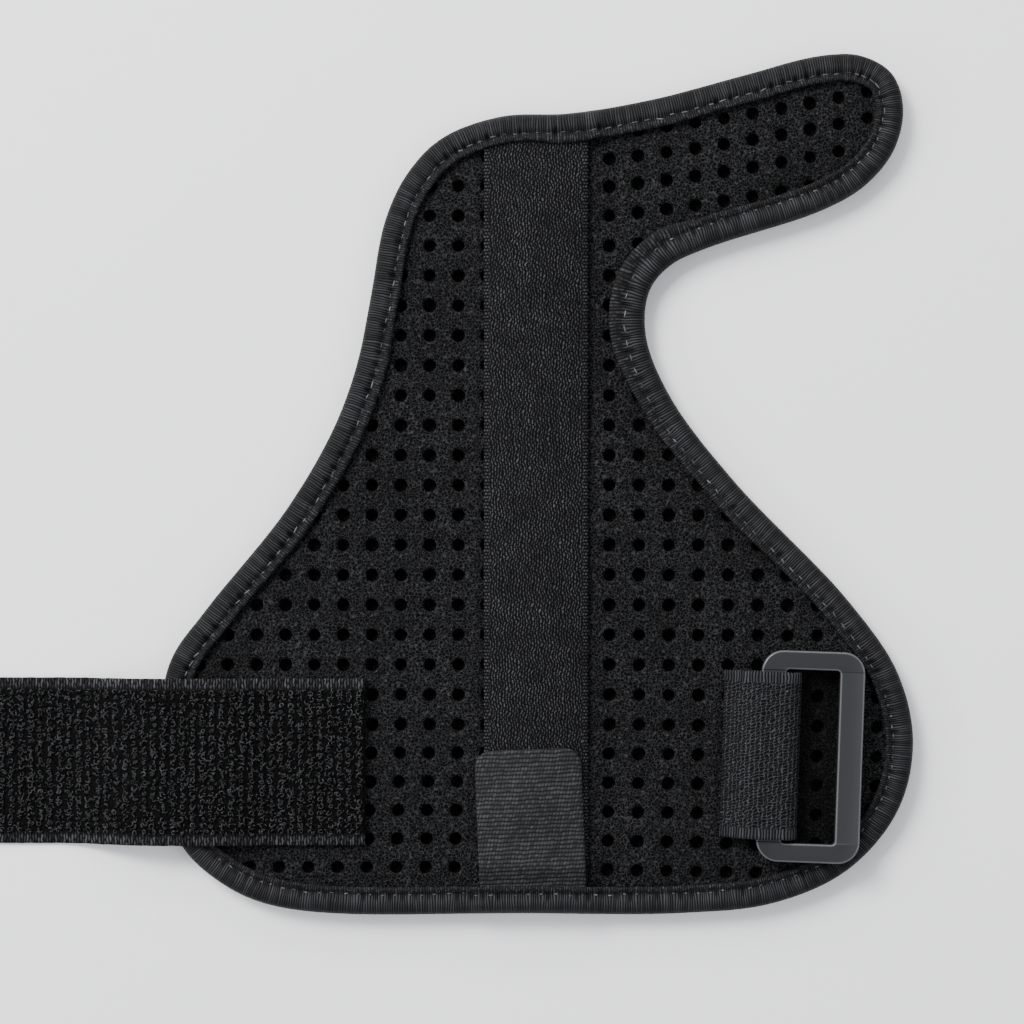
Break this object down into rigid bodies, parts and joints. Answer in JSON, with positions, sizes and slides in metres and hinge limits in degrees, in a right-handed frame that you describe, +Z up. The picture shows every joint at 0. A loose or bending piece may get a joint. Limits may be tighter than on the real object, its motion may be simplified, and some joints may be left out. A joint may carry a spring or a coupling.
{
  "type": "thumb spica splint",
  "caption": "Soft wrist and thumb splint laid out flat: perforated panel with a thumb wing, bound edge, sewn stay strip, closure strap and a ring in an elastic loop.",
  "frame": {"origin": "middle of the whole part on the surface that it rests on", "axes": "+X from the closure strap towards the ring, +Y from the hem towards the thumb wing, +Z up out of the panel's outer side"},
  "size_m": [0.2336, 0.207, 0.0114],
  "materials": {
    "perforated_foam": "black knit-faced foam, fine pebbled surface, matt",
    "lining_knit": "plain black knit, matt",
    "binding_tape": "black ribbed tape, folded and sewn with a lock stitch",
    "stay_webbing": "black twill webbing, slight sheen",
    "grosgrain": "dark grey grosgrain with cross ribs",
    "hook_webbing": "black webbing with a field of small loops between bare selvedges",
    "moulded_plastic": "dark grey moulded plastic, satin",
    "elastic_webbing": "black knitted elastic with ribbed selvedges"
  },
  "bodies": {
    "root": {"perforated_panel": "perforated_foam", "lining": "lining_knit", "edge_binding": "binding_tape", "stay_strip": "stay_webbing", "stay_tab": "grosgrain", "closure_strap": "hook_webbing", "buckle_ring": "moulded_plastic", "ring_loop": "elastic_webbing"}
  },
  "joints": []
}
